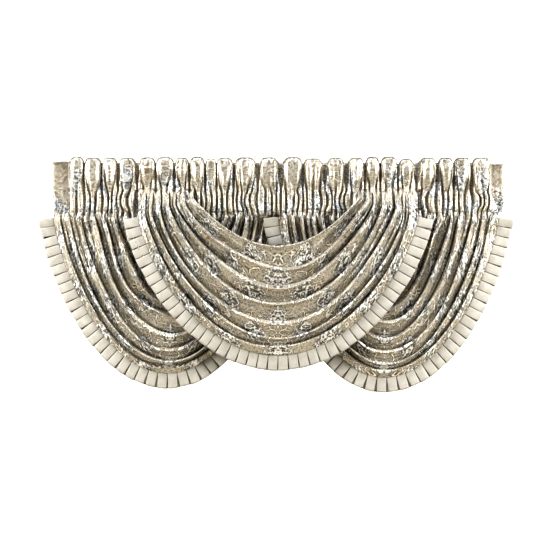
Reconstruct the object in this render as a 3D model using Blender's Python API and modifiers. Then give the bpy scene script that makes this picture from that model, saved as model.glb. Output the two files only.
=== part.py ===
"""Three-swag waterfall valance on one gathered rod-pocket heading.

The frame has X along the rod, +Z up and the front of the cloth towards -Y.
Its origin is the middle of the heading's top edge, and all sizes are in metres.
"""

import math
from collections import namedtuple

import bmesh
import bpy
from mathutils import Vector

# Cloth and seams
CLOTH = 0.002
SEAM_GAP = 0.0006
LAP = 0.003
LAP_DEPTH = 0.0027

# Heading: a rod pocket above a short gathered yoke, with a flat tab at each end
HEADING_HALF = 0.834
TAB_CREASE = 0.004
FIRST_PUFF = -0.7685
POCKET_HEIGHT = 0.122
YOKE_BOTTOM = 0.2035
FRONT_PLANE = -0.010
BACK_PLANE = 0.0125
PUFF_BULGE = 0.024
CREASE_DIP = 0.018
GATHER = 0.005
PUFF_SIDES = (0.0, 0.28, 0.72, 1.0)

# One row for each puff of the gathered pocket, from left to right
Puff = namedtuple("Puff", "width gap fullness lift")
PUFFS = (
    Puff(width=0.052, gap=0.0030, fullness=1.00, lift=0.000),
    Puff(width=0.061, gap=0.0060, fullness=0.90, lift=-0.003),
    Puff(width=0.052, gap=0.0100, fullness=0.85, lift=-0.003),
    Puff(width=0.058, gap=0.0155, fullness=0.95, lift=-0.003),
    Puff(width=0.058, gap=0.0030, fullness=1.00, lift=-0.002),
    Puff(width=0.065, gap=0.0060, fullness=1.00, lift=-0.001),
    Puff(width=0.049, gap=0.0060, fullness=0.90, lift=-0.003),
    Puff(width=0.052, gap=0.0055, fullness=1.00, lift=0.000),
    Puff(width=0.038, gap=0.0025, fullness=0.75, lift=-0.006),
    Puff(width=0.059, gap=0.0090, fullness=0.85, lift=-0.004),
    Puff(width=0.0735, gap=0.0185, fullness=1.00, lift=-0.002),
    Puff(width=0.064, gap=0.0235, fullness=0.95, lift=-0.002),
    Puff(width=0.067, gap=0.0065, fullness=1.00, lift=-0.001),
    Puff(width=0.067, gap=0.0215, fullness=0.80, lift=-0.006),
    Puff(width=0.0585, gap=0.0185, fullness=1.00, lift=-0.003),
    Puff(width=0.055, gap=0.0090, fullness=0.95, lift=-0.003),
    Puff(width=0.049, gap=0.0065, fullness=1.00, lift=0.000),
    Puff(width=0.058, gap=0.0090, fullness=1.00, lift=0.000),
    Puff(width=0.052, gap=0.0250, fullness=0.80, lift=-0.008),
    Puff(width=0.058, gap=0.0090, fullness=1.00, lift=-0.003),
    Puff(width=0.055, gap=0.0035, fullness=0.90, lift=-0.003),
    Puff(width=0.061, gap=0.0065, fullness=0.90, lift=-0.003),
    Puff(width=0.067, gap=0.0000, fullness=1.00, lift=-0.003),
)

# The heading's cross-section, from the yoke's lower edge over the rod and down the back.
# bulge is the share of a puff's fullness, dip the share of a crease's lower top.
Section = namedtuple("Section", "height depth bulge gather dip")
HEADING_SECTION = (
    Section(height=-YOKE_BOTTOM, depth=FRONT_PLANE, bulge=0.0, gather=0.0, dip=0.0),
    Section(height=-0.1700, depth=FRONT_PLANE, bulge=0.0, gather=0.6, dip=0.0),
    Section(height=-POCKET_HEIGHT, depth=FRONT_PLANE, bulge=0.0, gather=0.0, dip=0.0),
    Section(height=-0.0980, depth=FRONT_PLANE, bulge=0.55, gather=0.0, dip=0.0),
    Section(height=-0.0600, depth=FRONT_PLANE, bulge=0.95, gather=0.0, dip=0.0),
    Section(height=-0.0220, depth=FRONT_PLANE, bulge=1.0, gather=0.0, dip=0.45),
    Section(height=-0.0030, depth=FRONT_PLANE + 0.004, bulge=0.55, gather=0.0, dip=1.0),
    Section(height=-0.0010, depth=0.0040, bulge=0.0, gather=0.0, dip=1.0),
    Section(height=-0.0240, depth=BACK_PLANE, bulge=0.0, gather=-0.5, dip=0.3),
    Section(height=-0.1080, depth=BACK_PLANE, bulge=0.0, gather=-0.5, dip=0.0),
    Section(height=-0.1195, depth=FRONT_PLANE + 1.6 * CLOTH, bulge=0.0, gather=0.0, dip=0.0),
)

# Swags: how a drape is divided, and how its folds come off the seam
FADE_LENGTH = 0.085
PUSH_LENGTH = 0.16
RIM_PUSH_SHARE = 0.9
SEAM_FULLNESS = 0.35
HEM_FORWARD = 0.35
ARM_DEPTH_SHARE = 0.65
CURVE_COLUMNS = 18
STRAIGHT_COLUMNS = 2
RIM_POWER = 2.0
HEM_POWER = 1.45
CURVE_STEPS = 400

# Each fold of a swag, from the rolled top rim to the hem: left and right are its distances from
# the swag's middle at the heading, drop how far below the heading's top it hangs at its lowest,
# and depth how far its crest stands forward of the valley behind it.
Fold = namedtuple("Fold", "left right drop depth")
CENTRE_FOLDS = (
    Fold(left=0.311, right=0.295, drop=0.329, depth=0.030),
    Fold(left=0.346, right=0.325, drop=0.414, depth=0.032),
    Fold(left=0.375, right=0.352, drop=0.477, depth=0.030),
    Fold(left=0.405, right=0.387, drop=0.540, depth=0.034),
    Fold(left=0.435, right=0.432, drop=0.612, depth=0.034),
    Fold(left=0.463, right=0.459, drop=0.668, depth=0.026),
    Fold(left=0.490, right=0.484, drop=0.701, depth=0.020),
    Fold(left=0.514, right=0.514, drop=0.731, depth=0.018),
)
LEFT_FOLDS = (
    Fold(left=0.120, right=0.104, drop=0.400, depth=0.030),
    Fold(left=0.165, right=0.156, drop=0.470, depth=0.032),
    Fold(left=0.208, right=0.198, drop=0.536, depth=0.030),
    Fold(left=0.248, right=0.240, drop=0.599, depth=0.034),
    Fold(left=0.288, right=0.281, drop=0.660, depth=0.032),
    Fold(left=0.328, right=0.318, drop=0.714, depth=0.030),
    Fold(left=0.372, right=0.354, drop=0.757, depth=0.026),
    Fold(left=0.402, right=0.382, drop=0.783, depth=0.018),
    Fold(left=0.423, right=0.403, drop=0.800, depth=0.018),
)
RIGHT_FOLDS = (
    Fold(left=0.104, right=0.118, drop=0.430, depth=0.030),
    Fold(left=0.146, right=0.162, drop=0.498, depth=0.030),
    Fold(left=0.190, right=0.204, drop=0.558, depth=0.032),
    Fold(left=0.226, right=0.245, drop=0.614, depth=0.034),
    Fold(left=0.262, right=0.284, drop=0.670, depth=0.030),
    Fold(left=0.300, right=0.326, drop=0.722, depth=0.032),
    Fold(left=0.334, right=0.366, drop=0.764, depth=0.026),
    Fold(left=0.362, right=0.398, drop=0.792, depth=0.018),
    Fold(left=0.388, right=0.423, drop=0.815, depth=0.018),
)

# The way across one fold: along is the share of the way to the next fold, and forward the share
# of the fold's depth. The facing turns back behind the top rim.
Step = namedtuple("Step", "along forward")
FACING = (Step(along=0.36, forward=0.08), Step(along=0.05, forward=0.42))
FOLD_STEPS = (
    Step(along=0.0, forward=1.0),
    Step(along=0.16, forward=0.92),
    Step(along=0.52, forward=0.50),
    Step(along=0.90, forward=0.0),
)
HEM_STEPS = (
    Step(along=0.0, forward=1.0),
    Step(along=0.30, forward=0.85),
    Step(along=0.70, forward=HEM_FORWARD),
)

# Where an arm's gathered edge is sewn on: under the yoke, or at the pocket's stitch line in
# front of the yoke or behind it.
Seam = namedtuple("Seam", "height depth")
UNDER_YOKE = Seam(height=-YOKE_BOTTOM - SEAM_GAP, depth=FRONT_PLANE)
BEFORE_YOKE = Seam(height=-POCKET_HEIGHT - SEAM_GAP, depth=FRONT_PLANE - 1.35 * CLOTH)
BEHIND_YOKE = Seam(height=-POCKET_HEIGHT - 2 * CLOTH, depth=FRONT_PLANE + 5.6 * CLOTH)

# middle and lean: the swag's axis at its hem, and its shift at the top rim. rim_start and
# hem_start are the heights where the rim's and the hem's curves begin, valley the depth of the
# folds' valleys once clear of the seams, and push how far the right arm hangs behind the left.
Swag = namedtuple("Swag", "name folds middle lean left_seam right_seam rim_start hem_start valley push")
SWAGS = (
    Swag("left", LEFT_FOLDS, -0.407, 0.016, UNDER_YOKE, BEHIND_YOKE,
         rim_start=-0.212, hem_start=-0.222, valley=0.012, push=0.034),
    Swag("right", RIGHT_FOLDS, 0.392, 0.004, UNDER_YOKE, UNDER_YOKE,
         rim_start=-0.212, hem_start=-0.222, valley=0.012, push=0.0),
    Swag("centre", CENTRE_FOLDS, 0.0, 0.0, BEFORE_YOKE, BEFORE_YOKE,
         rim_start=-0.155, hem_start=-0.222, valley=-0.030, push=0.0),
)

# Pleated trim along each hem
PLEATS_PER_COLUMN = 2
TRIM_WIDTH = 0.057
TILE_SHARE = 0.93
PLEAT_SINK_INNER = 0.0012
PLEAT_SINK_OUTER = 0.005

DAMASK = {"color": (0.62, 0.55, 0.43, 1.0), "roughness": 0.38, "metallic": 0.25}
SATIN = {"color": (0.72, 0.65, 0.52, 1.0), "roughness": 0.48, "metallic": 0.0}


def mix(a, b, share):
    """The value that lies that share of the way from a to b."""
    return a + (b - a) * share


def cloth_material(name, look):
    """A Principled material for one kind of cloth."""
    material = bpy.data.materials.new(name)
    material.use_nodes = True
    shader = material.node_tree.nodes["Principled BSDF"]
    shader.inputs["Base Color"].default_value = look["color"]
    shader.inputs["Roughness"].default_value = look["roughness"]
    shader.inputs["Metallic"].default_value = look["metallic"]
    return material


def sheet(name, columns, rows, place, look, collection):
    """A grid of columns by rows points, each moved to place(column, row), made a cloth's thickness."""
    mesh = bpy.data.meshes.new(name)
    grid = bmesh.new()
    bmesh.ops.create_grid(grid, x_segments=columns - 1, y_segments=rows - 1, size=1.0)
    for vertex in grid.verts:
        column = round((vertex.co.x + 1) / 2 * (columns - 1))
        row = round((vertex.co.y + 1) / 2 * (rows - 1))
        vertex.co = place(column, row)
    grid.to_mesh(mesh)
    grid.free()
    mesh.shade_smooth()
    piece = bpy.data.objects.new(name, mesh)
    collection.objects.link(piece)
    thicken = piece.modifiers.new("cloth thickness", "SOLIDIFY")
    thicken.thickness = CLOTH
    thicken.offset = 0.0
    mesh.materials.append(look)
    return piece


def heading_columns():
    """Each column of the heading as its x, its puff's fullness there (0 in a crease) and its top's lift."""
    columns = [(-HEADING_HALF, 0.0, 0.0), (FIRST_PUFF - TAB_CREASE, 0.0, 0.0)]
    left = FIRST_PUFF
    for puff in PUFFS:
        for side in PUFF_SIDES:
            inside = 0.0 < side < 1.0
            fullness = puff.fullness if inside else 0.0
            lift = puff.lift + CREASE_DIP if inside else 0.0
            columns.append((left + side * puff.width, fullness, lift))
        left += puff.width + puff.gap
    columns.append((HEADING_HALF, 0.0, 0.0))
    return columns


def build_heading(look, collection):
    """The gathered pocket and yoke, one cloth: up the front, over the rod and down to the stitch line."""
    columns = heading_columns()

    def place(column, row):
        x, fullness, lift = columns[column]
        section = HEADING_SECTION[row]
        forward = section.bulge * fullness * PUFF_BULGE
        wave = section.gather * GATHER * (2.0 * fullness - 1.0)
        height = section.height - section.dip * (CREASE_DIP - lift)
        return x, section.depth - forward - wave, height

    return sheet("heading", len(columns), len(HEADING_SECTION), place, look, collection)


def fold_value(swag, number, column):
    """A column of the swag's table at a fold number that may lie between two rows."""
    low = min(int(number), len(swag.folds) - 2)
    return mix(getattr(swag.folds[low], column), getattr(swag.folds[low + 1], column), number - low)


def ease(distance, length):
    """A smooth change from 0 to 1 over a length."""
    share = min(max(distance / length, 0.0), 1.0)
    return share * share * (3.0 - 2.0 * share)


def even_angles(swag):
    """Angles from 0 to a quarter turn that divide half of the hem into equal lengths."""
    hem = swag.folds[-1]
    angles = [step * math.pi / 2 / CURVE_STEPS for step in range(CURVE_STEPS + 1)]
    line = [
        (hem.left * math.sin(a), (swag.hem_start + hem.drop) * max(math.cos(a), 0.0) ** HEM_POWER)
        for a in angles
    ]
    marks = [0.0]
    for a, b in zip(line, line[1:]):
        marks.append(marks[-1] + math.dist(a, b))
    count = CURVE_COLUMNS // 2
    even = []
    for column in range(count + 1):
        target = marks[-1] * column / count
        even.append(angles[min(range(len(marks)), key=lambda i: abs(marks[i] - target))])
    return even


def swag_point(swag, angles, column, number, forward):
    """A point of the swag. Columns run from the left seam through the lowest point to the right seam."""
    outward = number / (len(swag.folds) - 1)
    half = len(angles) - 1
    beside = column - half - STRAIGHT_COLUMNS
    side, seam, sign = ("left", swag.left_seam, -1) if beside < 0 else ("right", swag.right_seam, 1)
    angle = angles[min(abs(beside), half)]
    straight = max(abs(beside) - half, 0) / STRAIGHT_COLUMNS
    start = mix(swag.rim_start, swag.hem_start, outward)
    power = mix(HEM_POWER, RIM_POWER, (1.0 - min(outward, 1.0)) ** 3)
    reach = fold_value(swag, number, side)
    x = swag.middle + swag.lean * (1.0 - outward) + sign * reach * math.sin(angle)
    sag = (start + fold_value(swag, number, "drop")) * max(math.cos(angle), 0.0) ** power
    z = mix(start - sag, seam.height, straight)
    below = seam.height - z
    opened = ease(below, FADE_LENGTH)
    depth = fold_value(swag, number, "depth") * mix(ARM_DEPTH_SHARE, 1.0, math.cos(angle))
    y = mix(seam.depth, swag.valley, opened) - forward * depth * mix(SEAM_FULLNESS, 1.0, opened)
    if beside > 0:
        hang_back = swag.push * min(beside / half, 1.0) * mix(RIM_PUSH_SHARE, 1.0, outward)
        y += hang_back * ease(below, PUSH_LENGTH)
    return x, y, z


def swag_rows(swag):
    """Each row across the swag as its fold number and how far forward it lies."""
    rows = [(step.along, step.forward) for step in FACING]
    last = len(swag.folds) - 1
    for fold in range(last):
        steps = HEM_STEPS if fold == last - 1 else FOLD_STEPS
        rows += [(fold + step.along, step.forward) for step in steps]
    rows.append((last, HEM_FORWARD))
    return rows


def build_swag(swag, look, collection):
    """One draped panel, from the facing behind its top rim to its hem."""
    rows = swag_rows(swag)
    angles = even_angles(swag)

    def place(column, row):
        number, forward = rows[row]
        return swag_point(swag, angles, column, number, forward)

    columns = CURVE_COLUMNS + 2 * STRAIGHT_COLUMNS + 1
    return sheet(f"swag_{swag.name}", columns, len(rows), place, look, collection)


def hem_line(swag):
    """The hem's points below its straight ends, where the trim is sewn on."""
    angles = even_angles(swag)
    last = len(swag.folds) - 1
    columns = range(STRAIGHT_COLUMNS, STRAIGHT_COLUMNS + CURVE_COLUMNS + 1)
    return [Vector(swag_point(swag, angles, column, last, HEM_FORWARD)) for column in columns]


def on_hem(hem, place):
    """The hem's point at a place counted in columns, which may lie between two of them."""
    place = min(max(place, 0.0), len(hem) - 1.0)
    low = min(int(place), len(hem) - 2)
    return hem[low].lerp(hem[low + 1], place - low)


def trim_point(hem, middle, side, outward, sink):
    """A corner of the pleat whose middle is at a place on the hem, on its left (-1) or right (1) side."""
    half_pleat = 0.5 / PLEATS_PER_COLUMN
    along = on_hem(hem, middle + 2 * half_pleat) - on_hem(hem, middle - 2 * half_pleat)
    along = Vector((along.x, 0.0, along.z)).normalized()
    away = Vector((along.z, 0.0, -along.x))
    corner = on_hem(hem, middle + side * half_pleat * TILE_SHARE)
    if outward > 0.0:
        centre = on_hem(hem, middle)
        width = (on_hem(hem, middle + half_pleat) - on_hem(hem, middle - half_pleat)).length
        flat = centre + along * side * width / 2 * TILE_SHARE
        corner = Vector((flat.x, corner.y, flat.z))
    return corner + away * outward + Vector((0.0, LAP_DEPTH + sink, 0.0))


def build_trim(swag, look, collection):
    """A band of box pleats lapped behind the hem: flat tiles, with a sunken fold between each two."""
    hem = hem_line(swag)
    count = CURVE_COLUMNS * PLEATS_PER_COLUMN
    columns = []
    for pleat in range(count):
        middle = (pleat + 0.5) / PLEATS_PER_COLUMN
        columns.append((middle, -1, False))
        columns.append((middle, 1, False))
        if pleat < count - 1:
            columns.append((middle + 0.5 / PLEATS_PER_COLUMN, 0, True))

    def place(column, row):
        middle, side, sunk = columns[column]
        outer = row == 0
        sink = (PLEAT_SINK_OUTER if outer else PLEAT_SINK_INNER) if sunk else 0.0
        return trim_point(hem, middle, side, TRIM_WIDTH if outer else -LAP, sink)

    return sheet(f"trim_{swag.name}", len(columns), 2, place, look, collection)


def build():
    for old in list(bpy.data.objects):
        bpy.data.objects.remove(old)
    collection = bpy.data.collections.new("waterfall_valance")
    bpy.context.scene.collection.children.link(collection)
    damask = cloth_material("damask", DAMASK)
    satin = cloth_material("satin", SATIN)
    build_heading(damask, collection)
    for swag in SWAGS:
        build_swag(swag, damask, collection)
        build_trim(swag, satin, collection)


build()
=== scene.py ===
# %% [markdown]
# A waterfall swag valance. The real one is three draped panels of damask, each edged with a band
# of pleated satin, sewn to one gathered heading with a pocket for a curtain rod.
# This lesson dresses the plain solids of the frame: each cloth is built again as a fine sheet on
# the same folds, and gets a woven finish. Nothing is moved: every size comes from the frame or
# from the maker's own measures in metres.

# %% Load the frame
import math
from collections import namedtuple

import bpy
import numpy as np
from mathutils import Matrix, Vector


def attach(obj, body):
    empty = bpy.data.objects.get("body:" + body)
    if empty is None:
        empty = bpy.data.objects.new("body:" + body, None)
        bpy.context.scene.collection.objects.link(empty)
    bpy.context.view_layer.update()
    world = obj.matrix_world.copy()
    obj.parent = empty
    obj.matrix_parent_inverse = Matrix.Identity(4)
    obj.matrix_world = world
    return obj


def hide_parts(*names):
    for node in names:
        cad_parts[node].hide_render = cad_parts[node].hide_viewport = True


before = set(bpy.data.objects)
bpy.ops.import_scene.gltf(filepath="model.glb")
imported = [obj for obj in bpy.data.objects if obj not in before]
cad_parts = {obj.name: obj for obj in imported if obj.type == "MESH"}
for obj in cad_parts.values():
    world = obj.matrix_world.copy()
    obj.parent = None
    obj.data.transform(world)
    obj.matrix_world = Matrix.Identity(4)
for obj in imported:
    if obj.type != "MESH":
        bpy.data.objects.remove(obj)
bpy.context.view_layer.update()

# %% [markdown]
# A few small tools serve the whole lesson. One turns the hex colours of a colour picker into the
# linear light that Blender works in. One adds a shader node with its settings and its links. One
# gives smooth unevenness, because no real cloth repeats itself: a few waves are added up in
# directions drawn from a seeded source, so that each run gives the same cloth. The last two go
# from one value to another, evenly or with a smooth start and end.

# %% Colours, nodes and unevenness
def linear(hex_colour):
    """An sRGB colour such as #c6c0b3 as linear red, green, blue and alpha."""
    parts = [int(hex_colour[i:i + 2], 16) / 255 for i in (1, 3, 5)]
    return tuple(p / 12.92 if p <= 0.04045 else ((p + 0.055) / 1.055) ** 2.4 for p in parts) + (1.0,)


def add_node(tree, kind, inputs=None, output=0, **settings):
    """Adds a shader node and gives one output of it. An input is a plain value, or an output to link."""
    node = tree.nodes.new("ShaderNode" + kind)
    for name, value in settings.items():
        setattr(node, name, value)
    for key, value in (inputs or {}).items():
        if isinstance(value, bpy.types.NodeSocket):
            tree.links.new(value, node.inputs[key])
        else:
            node.inputs[key].default_value = value
    return node.outputs[output]


def uneven(across, along, seed, waves=6):
    """Smooth waves from about -1 to 1, whose lengths are near one unit of across and along."""
    source = np.random.default_rng(seed)
    total = 0.0
    for _ in range(waves):
        turn, rate, phase = source.uniform((0, 0.5, 0), (2 * np.pi, 1.5, 2 * np.pi))
        total = total + np.sin(2 * np.pi * rate * (across * np.cos(turn) + along * np.sin(turn)) + phase)
    return total / np.sqrt(waves)


def uneven_line(x, per_metre, seed):
    """The same along one line, with about that many waves a metre."""
    return uneven(x * per_metre, 0.0 * x, seed)


def mix(a, b, share):
    """The value that lies that share of the way from a to b."""
    return a + (b - a) * share


def ease(share):
    """A smooth change from 0 to 1 while the share goes from 0 to 1."""
    share = np.clip(share, 0.0, 1.0)
    return share * share * (3.0 - 2.0 * share)


print("champagne #c6c0b3 in linear light:", [round(v, 3) for v in linear("#c6c0b3")])

# %% [markdown]
# Damask is woven on a loom that lifts each warp thread by itself. The ground is a satin weave,
# whose long floating threads shine, and the figures are the same threads turned over, with extra
# yarns of silver, blue-grey and gold. A painted pattern would ignore the folds. Here it is
# worked out from the cloth's own flat coordinates, in metres, which run up into each fold as the
# thread does. The cloth is mirrored about the middle of each panel, as woven damask often is.
# The figures are a traditional ogee lattice of medallions with scrolls between them.

# %% Measures of the weave
OGEE_WIDTH = 0.190
OGEE_HEIGHT = 0.230
PETAL = 0.030
SCROLL = 0.036
SPECKLE = 0.0075  # real grains are about 1 mm, too fine for this picture
WARP_REACH = 0.034
WARP_SIZE = 0.060
YARN_PITCH = 0.0024  # real yarns are 0.3 mm apart, too fine for this picture
WAVE_UNIT = 0.314  # a wave texture of scale 1 repeats after this many metres
PATCHES_PER_METRE = 11.0  # the scrolls come in patches about 90 mm across
SCROLL_LINES = 2.1  # contour lines in a cell of the scrolls
PETAL_CUT = -1.3  # how deeply the petals notch a figure's edge
GRAIN_CUT = 3.0  # how much the grain frays it
VEINS = 22.0
VEIN_STRENGTH = 0.085

CHAMPAGNE = "#c6c0b3"
CHAMPAGNE_SHADE = "#978d79"
IVORY = "#f2eee4"
GOLD = "#877553"
OLIVE_SHADE = "#645b49"
PANEL_TONES = ((0.42, "#655b49"), (0.485, "#92979b"), (0.54, "#d8d4c9"), (0.60, "#f6f3eb"))
HEADING_TONES = ((0.36, "#47453f"), (0.44, "#8b9094"), (0.52, "#c9c8c2"), (0.64, "#e6e2d8"))
REVERSE = "#9d9382"
REVERSE_COVER = 0.8  # the figures show only faintly on the reverse
YARN_RISE = 0.12  # how far the yarns, stems and figures stand up, as shares of the bump's distance
STEM_RISE = 0.6
FIGURE_RISE = 0.6
GRAIN_RISE = 1.6
Denser = namedtuple("Denser", "axis start end amount")


def new_material(name):
    """A new material, its node tree and its shader."""
    material = bpy.data.materials.new(name)
    material.use_nodes = True
    return material, material.node_tree, material.node_tree.nodes["Principled BSDF"]


print("an ogee is", round(OGEE_WIDTH * 1000), "by", round(OGEE_HEIGHT * 1000), "mm")

# %% [markdown]
# The repeat is drawn in three steps: first the flat place of each point, mirrored about the
# middle and bent a little as a hand-drawn figure is; then the ogee lattice, from two waves; then
# the petals and the grain inside its medallions.

# %% The figures of the damask
def place_in_repeat(tree):
    """The flat place of a point, and the same place bent a little."""
    cloth = add_node(tree, "UVMap", output="UV", uv_map="cloth")
    parts = add_node(tree, "SeparateXYZ", {0: cloth}).node.outputs
    from_middle = add_node(tree, "Math", {0: parts["X"]}, operation="ABSOLUTE")
    place = add_node(tree, "CombineXYZ", {"X": from_middle, "Y": parts["Y"]})
    drift = add_node(tree, "TexNoise", {"Vector": place, "Scale": 1 / WARP_SIZE, "Detail": 2.0}, "Color")
    centred = add_node(tree, "VectorMath", {0: drift, 1: (0.5, 0.5, 0.5)}, operation="SUBTRACT")
    reach = (2 * WARP_REACH,) * 3
    bent = add_node(tree, "VectorMath", {0: centred, 1: reach, 2: place}, operation="MULTIPLY_ADD")
    return place, bent


def figures(tree, place, bent, rarity, denser, tones):
    """Where the figures are, where their dark rim is, their colour, and the grain of the cloth."""
    turns = (2 * math.pi / OGEE_WIDTH, 2 * math.pi / OGEE_HEIGHT, 0.0)
    angles = add_node(tree, "VectorMath", {0: bent, 1: turns}, operation="MULTIPLY")
    waves = add_node(tree, "VectorMath", {0: angles}, operation="COSINE")
    crossed = add_node(tree, "VectorMath", {0: waves, 1: (1.0, 1.0, 0.0)}, "Value", operation="DOT_PRODUCT")
    lattice = add_node(tree, "Math", {0: crossed}, operation="ABSOLUTE")
    petals = add_node(
        tree, "TexVoronoi", {"Vector": bent, "Scale": 1 / PETAL}, "Distance", feature="SMOOTH_F1"
    )
    grain = add_node(
        tree, "TexNoise", {"Vector": place, "Scale": 1 / SPECKLE, "Detail": 3.0, "Roughness": 0.7}, "Fac"
    )
    flat_place = add_node(tree, "SeparateXYZ", {0: place}).node.outputs[denser.axis]
    more = add_node(
        tree, "MapRange",
        {"Value": flat_place, "From Min": denser.start, "From Max": denser.end, "To Max": denser.amount},
        "Result", interpolation_type="SMOOTHSTEP",
    )
    dense = add_node(tree, "Math", {0: lattice, 1: more}, operation="ADD")
    lobed = add_node(tree, "Math", {0: petals, 1: PETAL_CUT, 2: dense}, operation="MULTIPLY_ADD")
    ragged = add_node(tree, "Math", {0: grain, 1: GRAIN_CUT, 2: lobed}, operation="MULTIPLY_ADD")
    edge = GRAIN_CUT / 2 + rarity
    figure, outer = (
        add_node(
            tree, "MapRange",
            {"Value": ragged, "From Min": edge + start, "From Max": edge + end, "To Max": most},
            "Result", interpolation_type="SMOOTHSTEP",
        )
        for start, end, most in ((0.42, 0.60, 1.0), (0.14, 0.34, 0.8))
    )
    rim = add_node(tree, "Math", {0: outer, 1: figure}, operation="SUBTRACT", use_clamp=True)

    veins = add_node(tree, "Math", {0: petals, 1: VEINS}, operation="MULTIPLY")
    veins = add_node(tree, "Math", {0: veins}, operation="SINE")
    mottled = add_node(tree, "Math", {0: veins, 1: VEIN_STRENGTH, 2: grain}, operation="MULTIPLY_ADD")
    threads = add_node(tree, "ValToRGB", {"Fac": mottled}, "Color")
    ramp = threads.node.color_ramp
    while len(ramp.elements) < len(tones):
        ramp.elements.new(0.5)
    for element, (position, colour) in zip(ramp.elements, tones):
        element.position = position
        element.color = linear(colour)
    return figure, rim, threads, grain


# %% [markdown]
# Between the medallions run thin scrolls, an ivory thread with a darker shade beside it. They are
# the contour lines of a cell pattern, shown only in patches, so they read as broken stems.

# %% The scrolls between the figures
def scrolls(tree, bent, grain, amount):
    """Where the ivory stems are, where their olive shade is, and where the shade turns to gold."""
    cells = add_node(tree, "TexVoronoi", {"Vector": bent, "Scale": 1 / SCROLL}, "Distance", feature="F1")
    spread = add_node(tree, "Math", {0: cells, 1: SCROLL_LINES}, operation="MULTIPLY")
    contour = add_node(tree, "Math", {0: spread, 1: 0.5}, operation="PINGPONG")
    thread, inner, outer = (
        add_node(
            tree, "MapRange", {"Value": contour, "From Min": start, "From Max": end},
            "Result", interpolation_type="SMOOTHSTEP",
        )
        for start, end in ((0.13, 0.04), (0.10, 0.17), (0.28, 0.17))
    )
    beside = add_node(tree, "Math", {0: inner, 1: outer}, operation="MULTIPLY")
    patches = add_node(tree, "TexNoise", {"Vector": bent, "Scale": PATCHES_PER_METRE, "Detail": 1.0}, "Fac")
    broken = add_node(tree, "Math", {0: grain, 1: 0.5, 2: patches}, operation="MULTIPLY_ADD")
    where, gilded = (
        add_node(
            tree, "MapRange", {"Value": patch, "From Min": start, "From Max": end, "To Max": amount},
            "Result", interpolation_type="SMOOTHSTEP",
        )
        for patch, start, end in ((broken, 0.62, 0.78), (patches, 0.54, 0.62))
    )
    return [
        add_node(tree, "Math", {0: line, 1: shown}, operation="MULTIPLY")
        for line, shown in ((thread, where), (beside, where), (beside, gilded))
    ]


# %% [markdown]
# The finish itself is woven polyester with a silk-like shine. Its satin ground reflects like a
# dull metal, so it gets some metallic and a middling roughness. The reverse, where the floats are
# short, is matt and plain, with the figures showing through faintly. The figures and stems stand a
# little above the ground, and the bump takes its height from the same values as the colour.
# The figures crowd together towards the sides of a swag and the foot of the heading. The side
# swags are cut from a denser part of the repeat than the centre one, and the heading from a
# sparser part, so each of the three has a material of its own.

# %% The damask
def damask(name, rarity, denser, tones=PANEL_TONES, amount=1.0, metal=0.44, reverse=False):
    """Champagne satin ground with silver, blue-grey and gold figures, which are denser to one side."""
    material, tree, shader = new_material(name)
    place, bent = place_in_repeat(tree)
    figure, rim, threads, grain = figures(tree, place, bent, rarity, denser, tones)
    stem, olive, gold = scrolls(tree, bent, grain, amount)
    colour = linear(CHAMPAGNE)
    shaded = add_node(
        tree, "MapRange", {"Value": grain, "From Min": 0.42, "From Max": 0.62},
        "Result", interpolation_type="SMOOTHSTEP",
    )
    layers = [
        (shaded, linear(CHAMPAGNE_SHADE)), (olive, linear(OLIVE_SHADE)), (gold, linear(GOLD)),
        (stem, linear(IVORY)), (rim, linear(OLIVE_SHADE)), (figure, threads),
    ]
    if reverse:
        layers.append((REVERSE_COVER, linear(REVERSE)))
    for share, layer in layers:
        colour = add_node(tree, "Mix", {0: share, 6: colour, 7: layer}, 2, data_type="RGBA")
    yarn = add_node(
        tree, "TexWave", {"Vector": place, "Scale": WAVE_UNIT / YARN_PITCH, "Distortion": 1.5},
        "Fac", bands_direction="DIAGONAL",
    )
    raised = add_node(tree, "Math", {0: grain, 1: GRAIN_RISE, 2: FIGURE_RISE}, operation="MULTIPLY_ADD")
    height = add_node(tree, "Math", {0: yarn, 1: YARN_RISE}, operation="MULTIPLY")
    height = add_node(tree, "Math", {0: figure, 1: raised, 2: height}, operation="MULTIPLY_ADD")
    height = add_node(tree, "Math", {0: stem, 1: STEM_RISE, 2: height}, operation="MULTIPLY_ADD")
    relief = add_node(tree, "Bump", {"Height": height, "Strength": 0.7, "Distance": 0.0015})
    tree.links.new(colour, shader.inputs["Base Color"])
    tree.links.new(relief, shader.inputs["Normal"])
    shader.inputs["Roughness"].default_value = 0.62 if reverse else 0.38
    shader.inputs["IOR"].default_value = 1.45 if reverse else 1.65
    shader.inputs["Metallic"].default_value = 0.15 if reverse else metal
    shader.inputs["Sheen Weight"].default_value = 0.05 if reverse else 0.10
    shader.inputs["Sheen Roughness"].default_value = 0.30
    shader.inputs["Sheen Tint"].default_value = linear(IVORY)
    return material


towards_sides = Denser("X", 0.12, 0.42, 0.34)
towards_foot = Denser("Y", 0.12, 0.05, 0.55)
damask_face = damask("champagne_silver_damask", 0.12, towards_sides)
dense_face = damask("dense_part_of_the_damask", 0.05, towards_sides)
damask_reverse = damask("damask_reverse", 0.12, towards_sides, reverse=True)
heading_face = damask("heading_damask", 0.42, towards_foot, HEADING_TONES, amount=0.50, metal=0.52)
print("damask nodes:", len(damask_face.node_tree.nodes))

# %% [markdown]
# The bands are plain polyester satin in cream, pressed into box pleats. Satin's shine is soft and
# stretched, and its yarns run along the band, so a fine wave stands for them, and a broad noise
# for the unevenness that pressing leaves. One colour with these two is closer to the real thing
# than a picture of satin would be, and it stays true at any distance.

# %% The satin
CREAM = "#b3afa5"
CREAM_SHADE = "#a9a499"
MARKS_PER_METRE = 38.0  # the marks of pressing are about 26 mm across
MARKS_RISE = 0.9


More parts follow.
